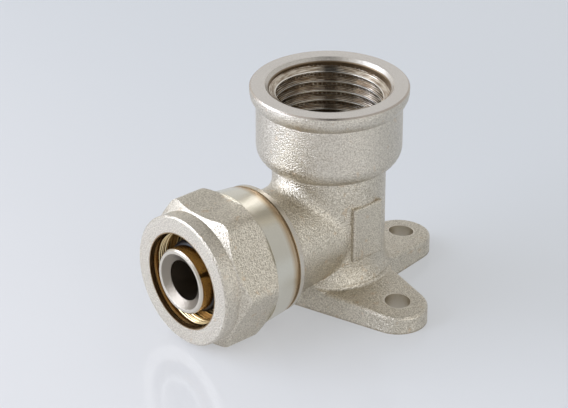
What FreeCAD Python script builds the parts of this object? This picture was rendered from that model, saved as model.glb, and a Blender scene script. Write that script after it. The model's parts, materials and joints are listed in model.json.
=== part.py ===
import FreeCAD, Part
import math
import os

# Wall plate elbow: a forged body with a threaded socket, a three-eared wall plate and a pipe
# branch that carries a compression nut. All sizes are in millimetres. The wall face of the
# plate lies on Z = 0, the socket stands up along +Z and the branch points along -X.

# Pipe that the branch takes, and the play round it
pipe_diameter = 16.0
pipe_play = 0.25
seat_gap = 0.1
slip = 0.05

# Threaded socket
thread_diameter = 20.955
thread_depth = 12.5
thread_relief = 0.9
thread_into_shoulder = 1.4
mouth_chamfer = 0.72
socket_wall = 2.32
rim_projection = 1.1
rim_land = 1.0
rim_roll = 2.3
rim_edge = 0.25
shoulder_radius = 3.5

# Neck under the socket
neck_diameter = 20.0
saddle_radius = 2.4
saddle_room = 0.2
waterway_diameter = 12.0
waterway_sump = 0.8
drill_tip_angle = 59.0

# Branch barrel and its flange
barrel_inset = 0.6
barrel_run = 1.6
flange_thickness = 0.8
flange_inset = 0.7
flange_land = 0.2
wall_gap = 0.25

# Threaded spigot and pipe stem
spigot_length = 10.6
spigot_wall = 2.1
spigot_undercut = 1.4
undercut_depth = 0.35
pipe_stop_depth = 3.2
mouth_rim = 0.6
stem_diameter = 11.7
stem_bore = 7.3
stem_proud = 0.4
stem_edge = 0.3
countersink_depth = 0.95
countersink_diameter = 10.2

# Seal rings on the stem
seal_cord = 1.8
seal_groove_depth = 1.25
seal_groove_width = 2.2
front_seal_setback = 3.6
seal_spacing = 4.7

# Clamp ring between the nut and the spigot
ring_length = 6.0
ring_seat = 0.7
ring_lip_cover = 0.4
ring_play = 0.15
ring_wall = 1.7
ring_slot = 1.6
ring_slot_angle = 30.0
ring_land = 0.6
ring_tooth_count = 5
ring_tooth_pitch = 0.42
ring_tooth_depth = 0.3
ring_groove_depth = 0.7
ring_groove_width = 1.9
washer_thickness = 1.2

# Compression nut
nut_thread_gap = 0.6
nut_thread_overrun = 0.8
nut_skin = 1.35
nut_lip = 0.8
nut_lip_bore = 17.2
nut_back_gap = 0.05
hex_flats = 24.0
hex_corner_radius = 2.5
front_collar_diameter = 23.4
front_collar_length = 2.95
front_chamfer_length = 1.3
rear_collar_length = 5.65
rear_collar_taper = 0.55
rear_chamfer_length = 1.0
rear_bevel_length = 0.9
rear_bevel_depth = 0.4
nut_edge = 0.3

# Wall plate and its ears
plate_thickness = 3.7
plate_draft = 5.0
plate_edge_round = 0.7
hole_circle_radius = 18.05
hole_diameter = 4.5
ear_wall = 3.0
ear_taper = 9.6
nose_margin = 0.35
notch_radius = 2.5
pedestal_margin = 0.9
pedestal_rise = 0.1
pedestal_fillet = 0.6
flare_rise = 3.6

# Raised pad on the neck's side, left blank
pad_width = 6.6
pad_length = 10.3
pad_bottom = 9.2
pad_proud = 0.35
pad_corner = 0.4

# Radii and levels that follow from the sizes above
Vector = FreeCAD.Vector
origin = Vector(0, 0, 0)
up = Vector(0, 0, 1)
pipe_bore_radius = pipe_diameter / 2 + pipe_play
spigot_radius = pipe_bore_radius + spigot_wall
nut_bore_radius = spigot_radius + nut_thread_gap
rear_collar_radius = nut_bore_radius + nut_skin
flange_radius = rear_collar_radius - flange_inset
branch_height = rear_collar_radius + wall_gap
neck_radius = neck_diameter / 2
barrel_radius = neck_radius - barrel_inset
flange_fillet = flange_radius - barrel_radius - flange_land
waterway_radius = waterway_diameter / 2
thread_radius = thread_diameter / 2
socket_radius = thread_radius + socket_wall
rim_radius = socket_radius + rim_projection
neck_top = branch_height + barrel_radius + saddle_radius + saddle_room
shoulder_centre_radius = socket_radius - shoulder_radius
shoulder_angle = math.acos((neck_radius - shoulder_centre_radius) / shoulder_radius)
shoulder_start = neck_top + shoulder_radius * math.sin(shoulder_angle)
thread_bottom = shoulder_start - thread_into_shoulder
total_height = thread_bottom + thread_depth
rim_bottom = total_height - rim_land - rim_roll

# Distances along the branch, measured from the socket's axis
flange_reach = neck_radius + saddle_radius + barrel_run + flange_fillet
flange_front = flange_reach + flange_thickness
pipe_stop_reach = flange_front + pipe_stop_depth
spigot_front = flange_front + spigot_length
ring_back = spigot_front - ring_seat
ring_front = ring_back + ring_length
nut_back = flange_front + nut_back_gap
nut_inner_front = ring_front + seat_gap
nut_front = nut_inner_front + nut_lip
stem_end = nut_front + stem_proud
stem_radius = stem_diameter / 2
bore_radius = stem_bore / 2
front_seal_reach = stem_end - front_seal_setback
rear_seal_reach = front_seal_reach - seal_spacing
seal_floor = stem_radius - seal_groove_depth
ring_inner_radius = pipe_bore_radius
ring_valley_radius = ring_inner_radius + ring_tooth_depth
ring_outer_radius = ring_valley_radius + ring_wall
ring_front_radius = nut_lip_bore / 2 + ring_lip_cover
mouth_radius = spigot_radius - mouth_rim
cone_gap = seat_gap * math.sqrt(2)
draft = math.radians(plate_draft)
ear_end_radius = hole_diameter / 2 + ear_wall
plate_reach = hole_circle_radius + ear_end_radius


def corner(radius, height):
    """End of a straight stretch of a turned profile."""
    return (radius, height)


def curve(centre_radius, centre_height, radius, start_angle, end_angle):
    """Arc of a turned profile about a centre, between two angles in degrees from the outward radius."""
    middle = math.radians((start_angle + end_angle) / 2)
    end = math.radians(end_angle)
    return (
        centre_radius + radius * math.cos(middle),
        centre_height + radius * math.sin(middle),
        centre_radius + radius * math.cos(end),
        centre_height + radius * math.sin(end),
    )


def turned(steps):
    """Solid turned about +Z from a profile of corners and curves, closed back to its start."""
    first = Vector(steps[0][0], 0, steps[0][1])
    here = first
    edges = []
    for step in steps[1:]:
        end = Vector(step[-2], 0, step[-1])
        if len(step) == 4:
            middle = Vector(step[0], 0, step[1])
            edges.append(Part.Arc(here, middle, end).toShape())
        else:
            edges.append(Part.LineSegment(here, end).toShape())
        here = end
    edges.append(Part.LineSegment(here, first).toShape())
    face = Part.Face(Part.Wire(edges))
    return face.revolve(origin, up, 360)


def on_branch(shape):
    """Lay a piece that was turned about +Z along the branch, so that its height becomes reach."""
    shape.rotate(origin, Vector(0, 1, 0), -90)
    shape.translate(Vector(0, 0, branch_height))
    return shape


def rounded(shape, radius, wanted):
    """Round every edge that passes the given test."""
    edges = [edge for edge in shape.Edges if wanted(edge)]
    return shape.makeFillet(radius, edges)


def socket_and_neck():
    """Neck, bowl-shaped shoulder, socket barrel and reinforced rim, turned as one profile."""
    shoulder_degrees = math.degrees(shoulder_angle)
    roll_angle = 2 * math.atan(rim_projection / rim_roll)
    roll_radius = rim_roll / math.sin(roll_angle)
    roll_degrees = math.degrees(roll_angle)
    return turned([
        corner(0, 0),
        corner(neck_radius, 0),
        corner(neck_radius, neck_top),
        curve(shoulder_centre_radius, shoulder_start, shoulder_radius, -shoulder_degrees, 0),
        corner(socket_radius, rim_bottom),
        curve(rim_radius - roll_radius, rim_bottom + rim_roll, roll_radius, -roll_degrees, 0),
        corner(rim_radius, total_height - rim_edge),
        corner(rim_radius - rim_edge, total_height),
        corner(0, total_height),
    ])


def socket_bore():
    """Chamfered mouth, plain thread bore, drill cone and the waterway down to the branch."""
    relief_radius = thread_radius - thread_relief
    cone_rise = (relief_radius - waterway_radius) / math.tan(math.radians(drill_tip_angle))
    tip_drop = waterway_radius / math.tan(math.radians(drill_tip_angle))
    sump = branch_height - bore_radius - waterway_sump
    return turned([
        corner(0, sump - tip_drop),
        corner(waterway_radius, sump),
        corner(waterway_radius, thread_bottom - cone_rise),
        corner(relief_radius, thread_bottom),
        corner(thread_radius, thread_bottom),
        corner(thread_radius, total_height - mouth_chamfer),
        corner(thread_radius + mouth_chamfer, total_height),
        corner(0, total_height),
    ])


def branch_barrel():
    """Barrel with a concave run-out into the thin flange that the nut faces."""
    return on_branch(turned([
        corner(0, 0),
        corner(barrel_radius, 0),
        corner(barrel_radius, flange_reach - flange_fillet),
        curve(barrel_radius + flange_fillet, flange_reach - flange_fillet, flange_fillet, 180, 90),
        corner(flange_radius, flange_reach),
        corner(flange_radius, flange_front),
        corner(0, flange_front),
    ]))


def spigot():
    """Threaded spigot in front of the flange, undercut where it meets the flange."""
    undercut_end = flange_front + spigot_undercut
    return on_branch(turned([
        corner(0, flange_reach),
        corner(spigot_radius - undercut_depth, flange_reach),
        corner(spigot_radius - undercut_depth, undercut_end),
        corner(spigot_radius, undercut_end + undercut_depth),
        corner(spigot_radius, spigot_front),
        corner(0, spigot_front),
    ]))


def pipe_stem():
    """Stem that the pipe slides over, with two seal grooves."""
    profile = [corner(0, flange_reach), corner(stem_radius, flange_reach)]
    for reach in (rear_seal_reach, front_seal_reach):
        profile.append(corner(stem_radius, reach - seal_groove_width / 2))
        profile.append(corner(seal_floor, reach - seal_groove_width / 2))
        profile.append(corner(seal_floor, reach + seal_groove_width / 2))
        profile.append(corner(stem_radius, reach + seal_groove_width / 2))
    profile.append(corner(stem_radius, stem_end - stem_edge))
    profile.append(corner(stem_radius - stem_edge, stem_end))
    profile.append(corner(0, stem_end))
    return on_branch(turned(profile))


def branch_bore():
    """Bore through the stem to the waterway, countersunk at the stem's end."""
    return on_branch(turned([
        corner(0, 0),
        corner(bore_radius, 0),
        corner(bore_radius, stem_end - countersink_depth),
        corner(countersink_diameter / 2, stem_end),
        corner(0, stem_end),
    ]))


def pipe_space():
    """Hole in the spigot for the pipe's end, with the cone at its mouth that seats the clamp ring."""
    return on_branch(turned([
        corner(0, pipe_stop_reach),
        corner(pipe_bore_radius, pipe_stop_reach),
        corner(pipe_bore_radius, spigot_front - mouth_radius + pipe_bore_radius),
        corner(mouth_radius, spigot_front),
        corner(0, spigot_front),
    ]))


def ear_centres():
    """Screw hole centres: one opposite the branch and one to each side of it."""
    return [
        Vector(hole_circle_radius, 0, 0),
        Vector(0, -hole_circle_radius, 0),
        Vector(0, hole_circle_radius, 0),
    ]


def plate_outline():
    """Outline of the plate: a round nose under the branch and three tapered ears with round ends."""
    nose_radius = neck_radius + nose_margin
    lean = math.asin((nose_radius - ear_end_radius) / hole_circle_radius)
    taper = math.radians(ear_taper)
    diagonal = Vector(1, -1, 0).normalize()
    side_centre = Vector(0, -hole_circle_radius, 0)
    lean_normal = Vector(-math.cos(lean), -math.sin(lean), 0)
    taper_normal = Vector(math.cos(taper), -math.sin(taper), 0)
    nose_point = lean_normal * nose_radius
    outer_point = side_centre + lean_normal * ear_end_radius
    inner_point = side_centre + taper_normal * ear_end_radius
    side_tip = side_centre + Vector(0, -ear_end_radius, 0)
    half_notch = math.pi / 4 + taper
    run = Vector(math.sin(taper), math.cos(taper), 0)
    to_diagonal = -(inner_point.x + inner_point.y) / (run.x + run.y)
    notch_corner = inner_point + run * to_diagonal
    notch_start = notch_corner - run * (notch_radius / math.tan(half_notch))
    notch_middle = notch_corner + diagonal * (notch_radius / math.sin(half_notch) - notch_radius)

    def across_diagonal(point):
        return Vector(-point.y, -point.x, 0)

    def across_branch(point):
        return Vector(point.x, -point.y, 0)

    notch_end = across_diagonal(notch_start)
    back_point = across_diagonal(inner_point)
    back_tip = Vector(plate_reach, 0, 0)
    half = [
        Part.LineSegment(nose_point, outer_point),
        Part.Arc(outer_point, side_tip, inner_point),
        Part.LineSegment(inner_point, notch_start),
        Part.Arc(notch_start, notch_middle, notch_end),
        Part.LineSegment(notch_end, back_point),
    ]
    edges = [piece.toShape() for piece in half]
    edges.append(Part.Arc(back_point, back_tip, across_branch(back_point)).toShape())
    for edge in reversed(edges[:5]):
        edges.append(edge.mirror(origin, Vector(0, 1, 0)))
    edges.append(Part.Arc(across_branch(nose_point), Vector(-nose_radius, 0, 0), nose_point).toShape())
    return Part.Face(Part.Wire(Part.__sortEdges__(edges)))


def plate_top(radius):
    """Height of the plate's upper face, which falls away from the neck by the draft."""
    return plate_thickness + (hole_circle_radius - radius) * math.tan(draft)


def wall_plate(outline):
    """Plate with a drafted upper face and rounded upper edges."""
    slope = turned([
        corner(0, 0),
        corner(plate_reach + slip, 0),
        corner(plate_reach + slip, plate_top(plate_reach + slip)),
        corner(0, plate_top(0)),
    ])
    plate = outline.extrude(up * plate_top(0)).common(slope)
    return rounded(plate, plate_edge_round, lambda edge: edge.BoundBox.ZMin > slip)


def pedestal(outline):
    """Foot of the neck: it flares out to a filleted toe, slants into the plate and keeps to its outline."""
    step_radius = neck_radius + pedestal_margin
    fillet_radius = step_radius + pedestal_fillet
    toe_radius = fillet_radius - pedestal_fillet * math.sin(draft)
    fillet_height = plate_top(toe_radius) + pedestal_fillet * math.cos(draft)
    step_top = fillet_height + pedestal_rise
    flare_top = step_top + flare_rise
    flare_radius = (pedestal_margin ** 2 + flare_rise ** 2) / (2 * pedestal_margin)
    flare_degrees = math.degrees(math.asin(flare_rise / flare_radius))
    foot = turned([
        corner(0, 0),
        corner(toe_radius + plate_edge_round, 0),
        corner(toe_radius + plate_edge_round, plate_top(toe_radius) - 2 * plate_edge_round),
        corner(toe_radius, plate_top(toe_radius)),
        curve(fillet_radius, fillet_height, pedestal_fillet, 270 - plate_draft, 180),
        corner(step_radius, step_top),
        curve(neck_radius + flare_radius, flare_top, flare_radius, 180 + flare_degrees, 180),
        corner(0, flare_top),
    ])
    return foot.common(outline.extrude(up * flare_top))


def side_pad():
    """Raised blank pad on the neck's -Y side."""
    depth = neck_radius / 2
    pad = Part.makeBox(pad_width, depth, pad_length)
    pad.translate(Vector(-pad_width / 2, -neck_radius - pad_proud, pad_bottom))
    front = -neck_radius - pad_proud
    return rounded(pad, pad_corner, lambda edge: abs(edge.CenterOfMass.y - front) < slip)


def body():
    """Forged elbow body with its machined bores."""
    saddle = socket_and_neck().fuse(branch_barrel()).removeSplitter()

    def on_saddle(edge):
        box = edge.BoundBox
        return box.XMax < 0 and box.XMin > -flange_reach + flange_fillet + slip and box.ZLength > neck_radius / 2

    forging = rounded(saddle, saddle_radius, on_saddle)
    outline = plate_outline()
    for piece in (wall_plate(outline), pedestal(outline), side_pad(), spigot()):
        forging = forging.fuse(piece)
    forging = forging.cut(pipe_space()).fuse(pipe_stem())
    screw_holes = [Part.makeCylinder(hole_diameter / 2, plate_top(0), centre) for centre in ear_centres()]
    for tool in [socket_bore(), branch_bore()] + screw_holes:
        forging = forging.cut(tool)
    return forging.removeSplitter()


def nut_hexagon(back, front):
    """Hexagon with rounded corners, flats parallel to the wall plate, trimmed by a cone at each end."""
    corner_radius = hex_flats / 2 / math.cos(math.pi / 6)
    reach_over_corners = corner_radius - hex_corner_radius * (1 / math.cos(math.pi / 6) - 1)
    angles = [math.radians(30 + 60 * index) for index in range(7)]
    points = [Vector(corner_radius * math.cos(turn), corner_radius * math.sin(turn), back) for turn in angles]
    prism = Part.Face(Part.makePolygon(points)).extrude(up * (front - back))
    prism = rounded(prism, hex_corner_radius, lambda edge: edge.BoundBox.ZLength > (front - back) / 2)
    trim = turned([
        corner(0, back),
        corner(rear_collar_radius, back),
        corner(reach_over_corners, back + rear_chamfer_length),
        corner(reach_over_corners, front - front_chamfer_length),
        corner(front_collar_diameter / 2, front),
        corner(0, front),
    ])
    return prism.common(trim)


def compression_nut():
    """Hexagon nut with a short front collar, a tapered rear collar and a cone inside for the clamp ring."""
    hex_back = nut_back + rear_collar_length
    hex_front = nut_front - front_collar_length
    front_radius = front_collar_diameter / 2
    rear_end_radius = rear_collar_radius - rear_collar_taper
    thread_end = spigot_front + nut_thread_overrun
    cavity_radius = ring_outer_radius + ring_play
    cone_radius = ring_front_radius + cone_gap - seat_gap
    collars = turned([
        corner(0, nut_back),
        corner(rear_end_radius - rear_bevel_depth, nut_back),
        corner(rear_end_radius, nut_back + rear_bevel_length),
        corner(rear_collar_radius, hex_back),
        corner(front_radius, hex_back),
        corner(front_radius, nut_front - nut_edge),
        corner(front_radius - nut_edge, nut_front),
        corner(0, nut_front),
    ])
    cavity = turned([
        corner(0, nut_back),
        corner(nut_bore_radius, nut_back),
        corner(nut_bore_radius, thread_end),
        corner(cavity_radius, thread_end),
        corner(cavity_radius, nut_inner_front - cavity_radius + cone_radius),
        corner(cone_radius, nut_inner_front),
        corner(nut_lip_bore / 2, nut_inner_front),
        corner(nut_lip_bore / 2, nut_front),
        corner(0, nut_front),
    ])
    return on_branch(collars.fuse(nut_hexagon(hex_back, hex_front)).cut(cavity).removeSplitter())


def clamp_ring():
    """Split ring with a cone at each end outside, and teeth and a relief groove inside."""
    back_radius = mouth_radius - spigot_front + ring_back - cone_gap
    teeth_start = ring_front - ring_land - ring_tooth_count * ring_tooth_pitch
    groove_start = teeth_start - ring_groove_width
    profile = [
        corner(ring_inner_radius, ring_back),
        corner(back_radius, ring_back),
        corner(ring_outer_radius, ring_back + ring_outer_radius - back_radius),
        corner(ring_outer_radius, ring_front - ring_outer_radius + ring_front_radius),
        corner(ring_front_radius, ring_front),
        corner(ring_valley_radius, ring_front),
    ]
    for index in range(ring_tooth_count, 0, -1):
        crest = teeth_start + index * ring_tooth_pitch
        profile.append(corner(ring_inner_radius, crest))
        profile.append(corner(ring_valley_radius, crest - ring_tooth_pitch / 2))
    profile.append(corner(ring_inner_radius, teeth_start))
    profile.append(corner(ring_inner_radius + ring_groove_depth, teeth_start))
    profile.append(corner(ring_inner_radius + ring_groove_depth, groove_start))
    profile.append(corner(ring_inner_radius, groove_start))
    slot = Part.makeBox(ring_outer_radius, ring_slot, ring_length)
    slot.translate(Vector(0, -ring_slot / 2, ring_back))
    slot.rotate(origin, up, ring_slot_angle - 90)
    return on_branch(turned(profile).cut(slot))


def stem_seal(reach):
    """Rubber ring in a groove of the stem."""
    seal = Part.makeTorus(seal_floor + slip + seal_cord / 2, seal_cord / 2)
    seal.translate(up * reach)
    return on_branch(seal)


def insulating_washer():
    """Plastic ring that keeps the pipe's cut end off the metal."""
    return on_branch(turned([
        corner(stem_radius + slip, pipe_stop_reach),
        corner(pipe_bore_radius - slip, pipe_stop_reach),
        corner(pipe_bore_radius - slip, pipe_stop_reach + washer_thickness),
        corner(stem_radius + slip, pipe_stop_reach + washer_thickness),
    ]))


pieces = {
    "body": body(),
    "compression_nut": compression_nut(),
    "clamp_ring": clamp_ring(),
    "front_seal": stem_seal(front_seal_reach),
    "rear_seal": stem_seal(rear_seal_reach),
    "insulating_washer": insulating_washer(),
}
os.makedirs("parts", exist_ok=True)
for name, shape in pieces.items():
    shape.exportStep("parts/" + name + ".step")
    print(name, len(shape.Solids), shape.isValid(), round(shape.Volume, 1), shape.BoundBox)
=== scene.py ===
import functools
import json
import math

import bpy
import numpy as np
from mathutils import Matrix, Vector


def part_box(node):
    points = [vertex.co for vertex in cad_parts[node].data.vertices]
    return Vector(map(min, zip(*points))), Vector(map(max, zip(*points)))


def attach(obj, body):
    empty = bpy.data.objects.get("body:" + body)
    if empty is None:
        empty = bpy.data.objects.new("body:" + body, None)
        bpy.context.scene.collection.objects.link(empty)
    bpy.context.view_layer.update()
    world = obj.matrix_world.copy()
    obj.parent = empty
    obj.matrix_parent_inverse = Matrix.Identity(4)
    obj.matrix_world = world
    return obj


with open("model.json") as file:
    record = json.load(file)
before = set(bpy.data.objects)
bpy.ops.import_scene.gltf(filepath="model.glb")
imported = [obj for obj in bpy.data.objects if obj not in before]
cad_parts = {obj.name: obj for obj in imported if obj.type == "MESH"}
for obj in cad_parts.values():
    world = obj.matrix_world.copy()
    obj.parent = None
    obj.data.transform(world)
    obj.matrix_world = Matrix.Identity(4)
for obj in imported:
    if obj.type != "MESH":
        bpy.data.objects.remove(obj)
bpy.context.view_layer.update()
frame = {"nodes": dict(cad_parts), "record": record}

# Wall plate elbow in nickel-plated forged brass, dressed for a studio photograph.
# Lengths are in metres. Those that follow the solids are read from the frame.
MM = 0.001

# Places read from the solids and their mounts
body_low, body_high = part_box("body")
nut_low, nut_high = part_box("compression_nut")
mounts = {mount["name"]: mount for mount in frame["record"]["mounts"]}
rim_height = body_high.z
stem_end = body_low.x
nut_back = nut_high.x
branch_height = (nut_low.z + nut_high.z) / 2
branch_axis = (0, 0, branch_height)
socket_radius = mounts["socket_thread"]["dims"]["r_mm"] * MM
thread_length = mounts["socket_thread"]["dims"]["length_mm"] * MM
thread_bottom = mounts["socket_thread"]["pos_m"][2] - thread_length / 2
hole_radius = mounts["back_ear_hole"]["dims"]["r_mm"] * MM
hole_reach = mounts["back_ear_hole"]["pos_m"][0]

# Places that the frame doesn't state
mouth_chamfer = 0.72 * MM
rim_radius = 13.9 * MM
rim_edge = 0.25 * MM
flange_back = 16.0 * MM
stem_radius = 5.85 * MM
countersink_radius = 5.1 * MM
countersink_depth = 0.95 * MM
bore_radius = 3.65 * MM
ring_tip_radius = 8.25 * MM
lip_radius = 8.6 * MM
hex_back = 22.5 * MM
hex_front = 30.65 * MM
bevel_length = 2.0 * MM
blend = 0.12 * MM  # width over which one finish passes into the next

# Threads, with the crest, flanks and ripples as shares of the pitch and the depth
socket_pitch = 1.814 * MM
socket_thread_depth = 1.16 * MM
thread_lift = 0.55 * MM
spigot_pitch = 1.5 * MM
spigot_radius = 10.35 * MM
spigot_thread_depth = 0.5 * MM
spigot_thread_start = 19.0 * MM
spigot_thread_end = 27.2 * MM
thread_root_sink = 0.05 * MM
run_out_sink = 0.4
crest_share = 0.06
flank_end_share = 0.42
ripple_count = 4
ripple_height = 0.028
points_per_turn = 96
points_per_hill = 83

# Nickel: the grain of the blasting and how far tools or plating have smoothed it
grit_size = 0.24 * MM
dent_size = 0.8 * MM
cloud_size = 5.0 * MM
speck_size = 1.6 * MM
grain_depth = 0.15 * MM
dent_share = 0.3
speck_share = 0.35
smooth_roughness = 0.26
blasted_roughness = 0.35
satin_ramp = 2.0 * MM
socket_satin = 0.2
rim_polish = 0.85
scored_grain = 0.4
nut_front_grain = 0.85

# Stains on the nickel where they don't cover it fully, and the painted shade at the foot
corner_stain = 0.4
foot_shade = 0.5
lip_stain = 0.9
bevel_stain = 0.8

# Patterns of the other finishes
streak_size = 2.0 * MM
streak_stretch = (1.0, 1.0, 12.0)
outer_cloud_size = 2.0 * MM
brass_cloud_size = 3.0 * MM
# share of the dark brown behind the teeth's tips: painted shade, with tarnish
brass_shade_and_tarnish = 0.75
# dark lines of painted shade that stand for the grooves between the teeth
ring_line_pitch = 0.75 * MM  # drawn coarser than the teeth, which are too fine to show
wave_length = math.pi / 10  # of a wave texture at a scale of 1
bloom_size = 0.8 * MM
haze_size = 4.0 * MM

# Sockets of a mix node in its colour mode, whose names also stand for those of its other modes
mix_first = 6
mix_second = 7
mix_result = 2

# Camera, matched to the photograph
image_width = 568
focal_length_px = 2600
camera_place = (-273.63 * MM, -298.92 * MM, 231.57 * MM)
camera_azimuth = -41.36
camera_elevation = 28.06

# Floor and room
floor_half = 3.0
floor_fade = 0.07
floor_glow = 0.42
room_back = (-0.2, 0.98, 0.0)
room_dim = 0.5
room_bright = 0.82
ceiling_edge = 0.6
ceiling_full = 0.8
gap_side = (0.75, -0.66, 0.0)
gap_edge = 0.17
gap_full = 0.15
gap_darkness = 0.95

# Lamps
lamp_target = (0, 0, 0.02)
window_place = (-0.6, 0.3, 0.18)
window_size = 0.6
window_power = 5.1
window_colour = "#E3EBFF"
back_place = (-0.31, 0.46, 0.41)
back_size = 0.3
back_power = 0.72
back_colour = "#E6EFFF"
fill_place = (0.04, -0.6, 0.18)
fill_size = 0.5
fill_power = 0.84
fill_colour = "#FFFFFF"


def linear(code):
    """Linear RGBA of an sRGB hex colour: each channel goes through the sRGB curve backwards."""
    channels = [int(code[i:i + 2], 16) / 255 for i in (1, 3, 5)]
    return (*[c / 12.92 if c <= 0.04045 else ((c + 0.055) / 1.055) ** 2.4 for c in channels], 1.0)


def node(tree, kind, inputs=None, **settings):
    """Add a node with its settings, set or link its inputs, and give back its outputs."""
    made = tree.nodes.new(kind)
    for key, value in settings.items():
        setattr(made, key, value)
    for key, value in (inputs or {}).items():
        if isinstance(value, bpy.types.NodeSocket):
            tree.links.new(value, made.inputs[key])
        else:
            made.inputs[key].default_value = value
    return made.outputs


def material(name, recipe):
    """Material whose recipe turns the object's own coordinates into inputs of the principled shader."""
    made = bpy.data.materials.new(name)
    made.use_nodes = True
    tree = made.node_tree
    tree.nodes.clear()
    place = node(tree, "ShaderNodeTexCoord")["Object"]
    shader = node(tree, "ShaderNodeBsdfPrincipled", recipe(tree, place))["BSDF"]
    node(tree, "ShaderNodeOutputMaterial", {"Surface": shader})
    return made


def reach_from(tree, place, axis_point, flatten):
    """Distance from an axis: the length of the offset from a point on it, less the part along it."""
    offset = node(tree, "ShaderNodeVectorMath", {0: place, 1: axis_point}, operation="SUBTRACT")["Vector"]
    across = node(tree, "ShaderNodeVectorMath", {0: offset, 1: flatten}, operation="MULTIPLY")["Vector"]
    return node(tree, "ShaderNodeVectorMath", {0: across}, operation="LENGTH")["Value"]


def nickel_plate(tree, place, grain, overlays):
    """Nickel plate, blasted where grain is 1 and smooth where it is 0, with overlays laid over it in order.

    The height is fine grit plus a share of the dents between. Each grain glints or lies in shade, the
    smooth tone drifts slowly, and a few warm specks show the brass. Each overlay is a stain, painted
    light or painted shade, given as a share from 0 to 1 and a colour.
    """
    add = functools.partial(node, tree)
    grit = add("ShaderNodeTexNoise", {"Vector": place, "Scale": 1 / grit_size, "Detail": 1.0})["Fac"]
    dents = add("ShaderNodeTexNoise", {"Vector": place, "Scale": 1 / dent_size, "Detail": 1.0})["Fac"]
    cloud = add("ShaderNodeTexNoise", {"Vector": place, "Scale": 1 / cloud_size, "Detail": 3.0})["Fac"]
    specks = add("ShaderNodeTexNoise", {"Vector": place, "Scale": 1 / speck_size, "Detail": 2.0})["Fac"]
    pitted = add("ShaderNodeMath", {0: dents, 1: dent_share, 2: grit}, operation="MULTIPLY_ADD")[0]
    height = add("ShaderNodeMath", {0: pitted, 1: grain}, operation="MULTIPLY")[0]
    glint = add("ShaderNodeMapRange", {"Value": grit, "From Min": 0.3, "From Max": 0.7})["Result"]
    warm = add("ShaderNodeMapRange", {
        "Value": specks, "From Min": 0.64, "From Max": 0.74, "To Max": speck_share})["Result"]
    blasted = add("ShaderNodeMix", {
        "Factor": glint, mix_first: linear("#B0A797"), mix_second: linear("#EBE4D5")},
        data_type="RGBA")[mix_result]
    worn = add("ShaderNodeMix", {
        "Factor": warm, mix_first: blasted, mix_second: linear("#CDAB7E")},
        data_type="RGBA")[mix_result]
    polished = add("ShaderNodeMix", {
        "Factor": cloud, mix_first: linear("#D9D4CF"), mix_second: linear("#E3DED9")},
        data_type="RGBA")[mix_result]
    colour = add("ShaderNodeMix", {
        "Factor": grain, mix_first: polished, mix_second: worn}, data_type="RGBA")[mix_result]
    for share, code in overlays:
        colour = add("ShaderNodeMix", {
            "Factor": share, mix_first: colour, mix_second: linear(code)}, data_type="RGBA")[mix_result]
    roughness = add("ShaderNodeMapRange", {
        "Value": grain, "To Min": smooth_roughness, "To Max": blasted_roughness})["Result"]
    return {
        "Base Color": colour,
        "Metallic": 1.0,
        "Roughness": roughness,
        "Normal": add("ShaderNodeBump", {"Height": height, "Distance": grain_depth})["Normal"],
    }


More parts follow.
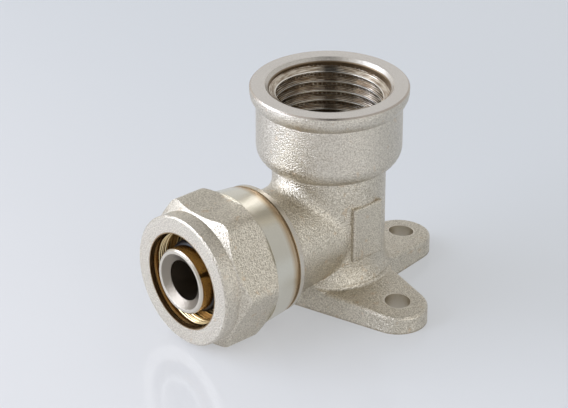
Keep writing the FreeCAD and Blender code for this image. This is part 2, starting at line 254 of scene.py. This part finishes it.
def forged_body(tree, place):
    """Blasted nickel-plated forging: warm grey grain, finer on the socket and smooth where tools cut it.

    The stem's side and the rim's corner show brown. The wall behind the socket's thread shows brown darkened
    with painted shade, and the foot a thin brown line of painted shade. Painted shade darkens the stem's
    countersink, and painted light brightens the walls of the ear holes.
    """
    add = functools.partial(node, tree)
    axes = add("ShaderNodeSeparateXYZ", {"Vector": place})
    x = axes["X"]
    z = axes["Z"]
    mirrored = add("ShaderNodeVectorMath", {0: place}, operation="ABSOLUTE")["Vector"]
    socket_reach = reach_from(tree, place, (0, 0, 0), (1, 1, 0))
    branch_reach = reach_from(tree, place, branch_axis, (0, 1, 1))
    back_hole = reach_from(tree, place, (hole_reach, 0, 0), (1, 1, 0))
    side_hole = reach_from(tree, mirrored, (0, hole_reach, 0), (1, 1, 0))
    hole_offset = add("ShaderNodeMath", {0: back_hole, 1: side_hole}, operation="MINIMUM")[0]

    # Bands of height and reach, from 0 outside to 1 inside
    rim = add("ShaderNodeMapRange", {
        "Value": z, "From Min": rim_height - rim_edge - blend, "From Max": rim_height - rim_edge,
        "To Max": rim_polish})["Result"]
    rim_corner = add("ShaderNodeMapRange", {
        "Value": socket_reach, "From Min": rim_radius - rim_edge - blend, "From Max": rim_radius - rim_edge,
        "To Max": corner_stain})["Result"]
    high = add("ShaderNodeMapRange", {
        "Value": z, "From Min": thread_bottom - 2 * blend, "From Max": thread_bottom - blend})["Result"]
    satin = add("ShaderNodeMapRange", {
        "Value": z, "From Min": thread_bottom - satin_ramp, "From Max": thread_bottom + satin_ramp,
        "To Max": socket_satin})["Result"]
    mouth = add("ShaderNodeMapRange", {
        "Value": socket_reach, "From Min": socket_radius + mouth_chamfer + blend,
        "From Max": socket_radius + mouth_chamfer})["Result"]
    wall = add("ShaderNodeMapRange", {
        "Value": socket_reach, "From Min": socket_radius + 2 * blend,
        "From Max": socket_radius + blend})["Result"]
    branch_end = add("ShaderNodeMapRange", {
        "Value": x, "From Min": blend - flange_back, "From Max": -flange_back})["Result"]
    stem_side = add("ShaderNodeMapRange", {
        "Value": branch_reach, "From Min": stem_radius - 2 * blend,
        "From Max": stem_radius - blend})["Result"]
    past_stem = add("ShaderNodeMapRange", {
        "Value": branch_reach, "From Min": stem_radius + 2 * blend,
        "From Max": stem_radius + blend})["Result"]
    behind_end = add("ShaderNodeMapRange", {
        "Value": x, "From Min": stem_end + 2 * blend, "From Max": stem_end + 3 * blend})["Result"]
    drilled = add("ShaderNodeMapRange", {
        "Value": hole_offset, "From Min": hole_radius + 2 * blend, "From Max": hole_radius + blend})["Result"]
    # painted shade: a thin brown line along the foot, where the plate stands on the floor
    foot = add("ShaderNodeMapRange", {
        "Value": z, "From Min": 3 * blend, "From Max": blend, "To Max": foot_shade})["Result"]
    countersink = add("ShaderNodeMapRange", {
        "Value": branch_reach, "From Min": countersink_radius,
        "From Max": countersink_radius - blend})["Result"]
    bored = add("ShaderNodeMapRange", {
        "Value": branch_reach, "From Min": bore_radius + 2 * blend,
        "From Max": bore_radius + blend})["Result"]
    at_end = add("ShaderNodeMapRange", {
        "Value": x, "From Min": stem_end + countersink_depth + blend,
        "From Max": stem_end + countersink_depth})["Result"]

    # Zones where two bands meet
    in_mouth = add("ShaderNodeMath", {0: high, 1: mouth}, operation="MULTIPLY")[0]
    on_wall = add("ShaderNodeMath", {0: high, 1: wall}, operation="MULTIPLY")[0]
    on_corner = add("ShaderNodeMath", {0: rim, 1: rim_corner}, operation="MULTIPLY")[0]
    stem_skin = add("ShaderNodeMath", {0: stem_side, 1: past_stem}, operation="MULTIPLY")[0]
    stem_length = add("ShaderNodeMath", {0: branch_end, 1: behind_end}, operation="MULTIPLY")[0]
    on_stem = add("ShaderNodeMath", {0: stem_skin, 1: stem_length}, operation="MULTIPLY")[0]
    in_sink = add("ShaderNodeMath", {0: countersink, 1: at_end}, operation="MULTIPLY")[0]
    in_bore = add("ShaderNodeMath", {0: bored, 1: branch_end}, operation="MULTIPLY")[0]

    # Grain: none where tools cut the metal, and a little in the zones that they scored
    smooth = rim
    for zone in (satin, in_mouth, branch_end, drilled):
        smooth = add("ShaderNodeMath", {0: smooth, 1: zone}, operation="MAXIMUM")[0]
    scored = in_mouth
    for zone in (in_sink, drilled):
        scored = add("ShaderNodeMath", {0: scored, 1: zone}, operation="MAXIMUM")[0]
    smooth = add("ShaderNodeMath", {0: scored, 1: -scored_grain, 2: smooth}, operation="MULTIPLY_ADD")[0]
    grain = add("ShaderNodeMath", {0: 1.0, 1: smooth}, operation="SUBTRACT")[0]
    overlays = (
        (branch_end, "#CFC8BB"),
        # brown of the metal, darkened with painted shade deep behind the socket's thread
        (on_wall, "#85735C"),
        (on_corner, "#9C8668"),
        (on_stem, "#C39E64"),
        # painted light: the drilled walls of the ear holes lightened to a warm pale grey
        (drilled, "#DDD5C6"),
        # painted shade along the foot
        (foot, "#8A7A60"),
        (in_bore, "#C3B8A8"),
        # painted shade darkening the stem's countersink, where the real part has a deeper counterbore
        (in_sink, "#8E867A"),
    )
    return nickel_plate(tree, place, grain, overlays)


def blasted_nut(tree, place):
    """Blasted nickel-plated nut: pebbly flats, finer grain on the front, a smooth rear collar.

    The bevel at the collar's back and the lip round the mouth show brown.
    """
    add = functools.partial(node, tree)
    x = add("ShaderNodeSeparateXYZ", {"Vector": place})["X"]
    reach = reach_from(tree, place, branch_axis, (0, 1, 1))
    flats = add("ShaderNodeMapRange", {
        "Value": x, "From Min": -hex_front, "From Max": blend - hex_front,
        "To Min": nut_front_grain})["Result"]
    collar = add("ShaderNodeMapRange", {
        "Value": x, "From Min": -hex_back, "From Max": -hex_back - blend})["Result"]
    grain = add("ShaderNodeMath", {0: flats, 1: collar}, operation="MULTIPLY")[0]
    turned = add("ShaderNodeMath", {0: 1.0, 1: collar}, operation="SUBTRACT")[0]
    bevel = add("ShaderNodeMapRange", {
        "Value": x, "From Min": nut_back - bevel_length, "From Max": nut_back - bevel_length / 2,
        "To Max": bevel_stain})["Result"]
    lip = add("ShaderNodeMapRange", {
        "Value": reach, "From Min": lip_radius + 2 * blend, "From Max": lip_radius + blend,
        "To Max": lip_stain})["Result"]
    overlays = ((turned, "#DEDACD"), (bevel, "#BFA47E"), (lip, "#8A6C40"))
    return nickel_plate(tree, place, grain, overlays)


def cut_thread(tree, place):
    """Cut and plated thread: brown flanks streaked along the cut, with a painted highlight on the thin
    crests.
    """
    add = functools.partial(node, tree)
    reach = reach_from(tree, place, (0, 0, 0), (1, 1, 0))
    crest_reach = socket_radius - socket_thread_depth
    # painted highlight: near-white colour along the thread's crests
    crest_highlight = add("ShaderNodeMapRange", {
        "Value": reach, "From Min": crest_reach + 2 * blend, "From Max": crest_reach + blend / 2})["Result"]
    drawn = add("ShaderNodeVectorMath", {0: place, 1: streak_stretch}, operation="MULTIPLY")["Vector"]
    streaks = add("ShaderNodeTexNoise", {"Vector": drawn, "Scale": 1 / streak_size, "Detail": 2.0})["Fac"]
    streaks = add("ShaderNodeMapRange", {"Value": streaks, "From Min": 0.3, "From Max": 0.7})["Result"]
    flank = add("ShaderNodeMix", {
        "Factor": streaks, mix_first: linear("#8C7862"), mix_second: linear("#E0D7C8")},
        data_type="RGBA")[mix_result]
    colour = add("ShaderNodeMix", {
        "Factor": crest_highlight, mix_first: flank, mix_second: linear("#F4EFE6")}, data_type="RGBA")[mix_result]
    return {"Base Color": colour, "Metallic": 1.0, "Roughness": 0.13}


def plated_thread(tree, place):
    """Plated outside thread: smooth warm grey, with a slow drift of tone."""
    add = functools.partial(node, tree)
    cloud = add("ShaderNodeTexNoise", {"Vector": place, "Scale": 1 / outer_cloud_size, "Detail": 3.0})["Fac"]
    colour = add("ShaderNodeMix", {
        "Factor": cloud, mix_first: linear("#B9AFA0"), mix_second: linear("#DAD3C6")},
        data_type="RGBA")[mix_result]
    return {"Base Color": colour, "Metallic": 1.0, "Roughness": 0.24}


def turned_brass(tree, place):
    """Bare turned brass: bright gold on the teeth's tips, dark brown in the lines and behind them as painted
    shade over tarnish.
    """
    add = functools.partial(node, tree)
    reach = reach_from(tree, place, branch_axis, (0, 1, 1))
    # painted shade, with tarnish, everywhere past the teeth's tips
    shade_and_tarnish_past_tips = add("ShaderNodeMapRange", {
        "Value": reach, "From Min": ring_tip_radius, "From Max": ring_tip_radius + 2 * blend,
        "To Max": brass_shade_and_tarnish})["Result"]
    cloud = add("ShaderNodeTexNoise", {"Vector": place, "Scale": 1 / brass_cloud_size, "Detail": 3.0})["Fac"]
    gold = add("ShaderNodeMix", {
        "Factor": cloud, mix_first: linear("#DDBF85"), mix_second: linear("#F6E6BE")},
        data_type="RGBA")[mix_result]
    # painted shade: dark lines round the ring for the grooves between its teeth
    lines = add("ShaderNodeTexWave", {"Vector": place, "Scale": wave_length / ring_line_pitch})["Fac"]
    painted_groove_shade = add("ShaderNodeMapRange", {"Value": lines, "From Min": 0.55, "From Max": 0.15})["Result"]
    shade_and_tarnish = add("ShaderNodeMath", {0: shade_and_tarnish_past_tips, 1: painted_groove_shade}, operation="MAXIMUM")[0]
    colour = add("ShaderNodeMix", {
        "Factor": shade_and_tarnish, mix_first: gold, mix_second: linear("#6E5129")}, data_type="RGBA")[mix_result]
    return {"Base Color": colour, "Metallic": 1.0, "Roughness": 0.22}


def black_rubber(tree, place):
    """Moulded black rubber: nearly black, with a soft bluish gloss and a faint bloom."""
    add = functools.partial(node, tree)
    bloom = add("ShaderNodeTexNoise", {"Vector": place, "Scale": 1 / bloom_size, "Detail": 3.0})["Fac"]
    colour = add("ShaderNodeMix", {
        "Factor": bloom, mix_first: linear("#0C0C0F"), mix_second: linear("#1C1D22")},
        data_type="RGBA")[mix_result]
    return {"Base Color": colour, "Roughness": 0.35}


def white_plastic(tree, place):
    """Turned white plastic: milky and half matt."""
    add = functools.partial(node, tree)
    haze = add("ShaderNodeTexNoise", {"Vector": place, "Scale": 1 / haze_size, "Detail": 2.0})["Fac"]
    colour = add("ShaderNodeMix", {
        "Factor": haze, mix_first: linear("#DEDCD4"), mix_second: linear("#ECEBE6")},
        data_type="RGBA")[mix_result]
    return {"Base Color": colour, "Roughness": 0.45}


def floor_material():
    """Pale coated board: bluish white that fades along the branch, glossy, with a weak shadow.

    The glow that keeps the shadow weak is seen by the camera and in the metal, and throws no light on
    the object.
    """
    made = bpy.data.materials.new("pale_coated_board")
    made.use_nodes = True
    tree = made.node_tree
    tree.nodes.clear()
    add = functools.partial(node, tree)
    x = add("ShaderNodeSeparateXYZ", {"Vector": add("ShaderNodeTexCoord")["Object"]})["X"]
    fade = add("ShaderNodeMapRange", {"Value": x, "From Min": -floor_fade, "From Max": floor_fade},
               interpolation_type="SMOOTHSTEP")["Result"]
    colour = add("ShaderNodeMix", {
        "Factor": fade, mix_first: linear("#E9EAED"), mix_second: linear("#D9DDE2")},
        data_type="RGBA")[mix_result]
    board = add("ShaderNodeBsdfPrincipled", {"Base Color": colour, "Roughness": 0.13})["BSDF"]
    glow = add("ShaderNodeEmission", {"Color": colour})["Emission"]
    ray = add("ShaderNodeLightPath")
    seen = ray["Is Camera Ray"]
    for kind in ("Is Glossy Ray", "Is Transmission Ray"):
        seen = add("ShaderNodeMath", {0: seen, 1: ray[kind]}, operation="MAXIMUM")[0]
    share = add("ShaderNodeMath", {0: seen, 1: floor_glow}, operation="MULTIPLY")[0]
    mixed = add("ShaderNodeMixShader", {0: share, 1: board, 2: glow})["Shader"]
    add("ShaderNodeOutputMaterial", {"Surface": mixed})
    return made


def surface(name, points, faces, finish):
    """Mesh object at the origin from an array of points and an array of quads, shaded smooth."""
    mesh = bpy.data.meshes.new(name)
    mesh.from_pydata(points.reshape(-1, 3).tolist(), [], faces.reshape(-1, 4).tolist())
    mesh.shade_smooth()
    mesh.materials.append(finish)
    piece = bpy.data.objects.new(name, mesh)
    bpy.context.scene.collection.objects.link(piece)
    return piece


def helical_ridge(name, base, axis, across, root, depth, pitch, start, end, finish):
    """Closed thread ridge: a hill with straight flanks, carried round an axis while it climbs a pitch a turn.

    A point is base + axis * climb + radius * (across * cos(turn) + side * sin(turn)). The climb is the
    start plus the turn's share of the pitch plus the place across the hill. The radius is the root plus
    depth times the hill, where a negative depth makes an inside thread. The hill is level at the crest,
    falls to the flank's end with the fine ripples that the cutter left, and fades to nothing over a
    quarter turn at both ends of the thread. A flat underside sunk in the wall closes it.
    """
    turns = (end - start) / pitch - 1
    turn = np.linspace(0, 2 * np.pi * turns, int(points_per_turn * turns) + 1)[:, None]
    share = np.linspace(-0.5, 0.5, points_per_hill)
    fall = np.clip((np.abs(share) - crest_share) / (flank_end_share - crest_share), 0, 1)
    hill = 1 - fall + ripple_height * np.sin(2 * np.pi * ripple_count * fall)
    share = np.concatenate([share, [0.5, -0.5]])[None, :]
    sunk = np.concatenate([np.zeros(points_per_hill), [1.0, 1.0]])[None, :]
    hill = np.concatenate([hill, [0.0, 0.0]])[None, :]
    fade = np.clip(np.minimum(turn, turn[-1] - turn) / (np.pi / 2), 0, 1)
    fade = fade * fade * (3 - 2 * fade)
    sink = np.sign(depth) * thread_root_sink * (sunk + run_out_sink * (1 - fade))
    radius = root + depth * hill * fade - sink
    climb = start + pitch / 2 + pitch * turn / (2 * np.pi) + pitch * share
    side = np.cross(axis, across)
    points = (base + axis * climb[..., None]
              + radius[..., None] * (across * np.cos(turn)[..., None] + side * np.sin(turn)[..., None]))
    rows, columns = points.shape[:2]
    index = np.arange(rows * columns).reshape(rows, columns)
    following = np.roll(index, -1, axis=1)
    faces = np.stack([index[:-1], following[:-1], following[1:], index[1:]], axis=-1)
    if depth > 0:
        faces = faces[..., ::-1]
    return surface(name, points, faces, finish)


def softbox(name, place, size, power, code):
    """Square area lamp at a place, turned to face the object."""
    lamp = bpy.data.lights.new(name, "AREA")
    lamp.size = size
    lamp.energy = power
    lamp.color = linear(code)[:3]
    holder = bpy.data.objects.new(name, lamp)
    holder.location = place
    aim = np.array(lamp_target) - np.array(place)
    tilt = math.acos(-aim[2] / np.linalg.norm(aim))
    holder.rotation_euler = (tilt, 0, math.atan2(aim[1], aim[0]) - math.pi / 2)
    bpy.context.scene.collection.objects.link(holder)


def studio_world():
    """Pale room: brighter behind the part, with a dark gap between the two panels of its ceiling."""
    world = bpy.data.worlds.new("studio")
    world.use_nodes = True
    tree = world.node_tree
    tree.nodes.clear()
    add = functools.partial(node, tree)
    direction = add("ShaderNodeTexCoord")["Generated"]
    back = add("ShaderNodeVectorMath", {0: direction, 1: room_back}, operation="DOT_PRODUCT")["Value"]
    side = add("ShaderNodeVectorMath", {0: direction, 1: gap_side}, operation="DOT_PRODUCT")["Value"]
    apart = add("ShaderNodeMath", {0: side}, operation="ABSOLUTE")[0]
    height = add("ShaderNodeSeparateXYZ", {"Vector": direction})["Z"]
    walls = add("ShaderNodeMapRange", {
        "Value": back, "From Min": -1.0, "To Min": room_dim, "To Max": room_bright})["Result"]
    ceiling = add("ShaderNodeMapRange", {
        "Value": height, "From Min": ceiling_edge, "From Max": ceiling_full})["Result"]
    gap = add("ShaderNodeMapRange", {
        "Value": apart, "From Min": gap_edge, "From Max": gap_full, "To Max": gap_darkness})["Result"]
    dark = add("ShaderNodeMath", {0: ceiling, 1: gap}, operation="MULTIPLY")[0]
    light = add("ShaderNodeMath", {0: 1.0, 1: dark}, operation="SUBTRACT")[0]
    strength = add("ShaderNodeMath", {0: walls, 1: light}, operation="MULTIPLY")[0]
    room = add("ShaderNodeBackground", {"Strength": strength, "Color": linear("#FFFFFF")})["Background"]
    add("ShaderNodeOutputWorld", {"Surface": room})
    return world


scene = bpy.context.scene
scene.view_settings.view_transform = "Standard"

# Finishes of the solids
rubber = material("moulded_black_rubber", black_rubber)
finishes = {
    "body": material("nickel_plated_forged_brass", forged_body),
    "compression_nut": material("nickel_plated_brass_nut", blasted_nut),
    "clamp_ring": material("bare_turned_brass", turned_brass),
    "front_seal": rubber,
    "rear_seal": rubber,
    "insulating_washer": material("turned_white_plastic", white_plastic),
}
for name, finish in finishes.items():
    solid = frame["nodes"][name]
    solid.data.materials.clear()
    solid.data.materials.append(finish)

# Threads that the solids leave plain
up = np.array([0.0, 0.0, 1.0])
out = np.array([-1.0, 0.0, 0.0])
ahead = np.array([0.0, 1.0, 0.0])
thread_top = rim_height - mouth_chamfer + thread_lift
socket_thread = helical_ridge(
    "socket_thread", np.zeros(3), up, ahead, socket_radius, -socket_thread_depth, socket_pitch,
    thread_top - thread_length, thread_top, material("nickel_plated_cut_thread", cut_thread))
spigot_thread = helical_ridge(
    "spigot_thread", np.array(branch_axis), out, ahead, spigot_radius, spigot_thread_depth, spigot_pitch,
    spigot_thread_start, spigot_thread_end, material("nickel_plated_outer_thread", plated_thread))
for piece in (socket_thread, spigot_thread):
    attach(piece, "elbow")

# Floor, light and camera
corners = np.array([[-1, -1, 0], [1, -1, 0], [1, 1, 0], [-1, 1, 0]]) * floor_half
surface("floor", corners, np.arange(4), floor_material())
scene.world = studio_world()
softbox("window_box", window_place, window_size, window_power, window_colour)
softbox("back_box", back_place, back_size, back_power, back_colour)
softbox("fill_box", fill_place, fill_size, fill_power, fill_colour)

camera = bpy.data.cameras.new("camera")
camera.sensor_width = 36.0
camera.lens = camera.sensor_width * focal_length_px / image_width
camera.clip_start = 0.01
viewer = bpy.data.objects.new("camera", camera)
viewer.location = camera_place
viewer.rotation_euler = (math.radians(90 - camera_elevation), 0, math.radians(camera_azimuth))
scene.collection.objects.link(viewer)
scene.camera = viewer
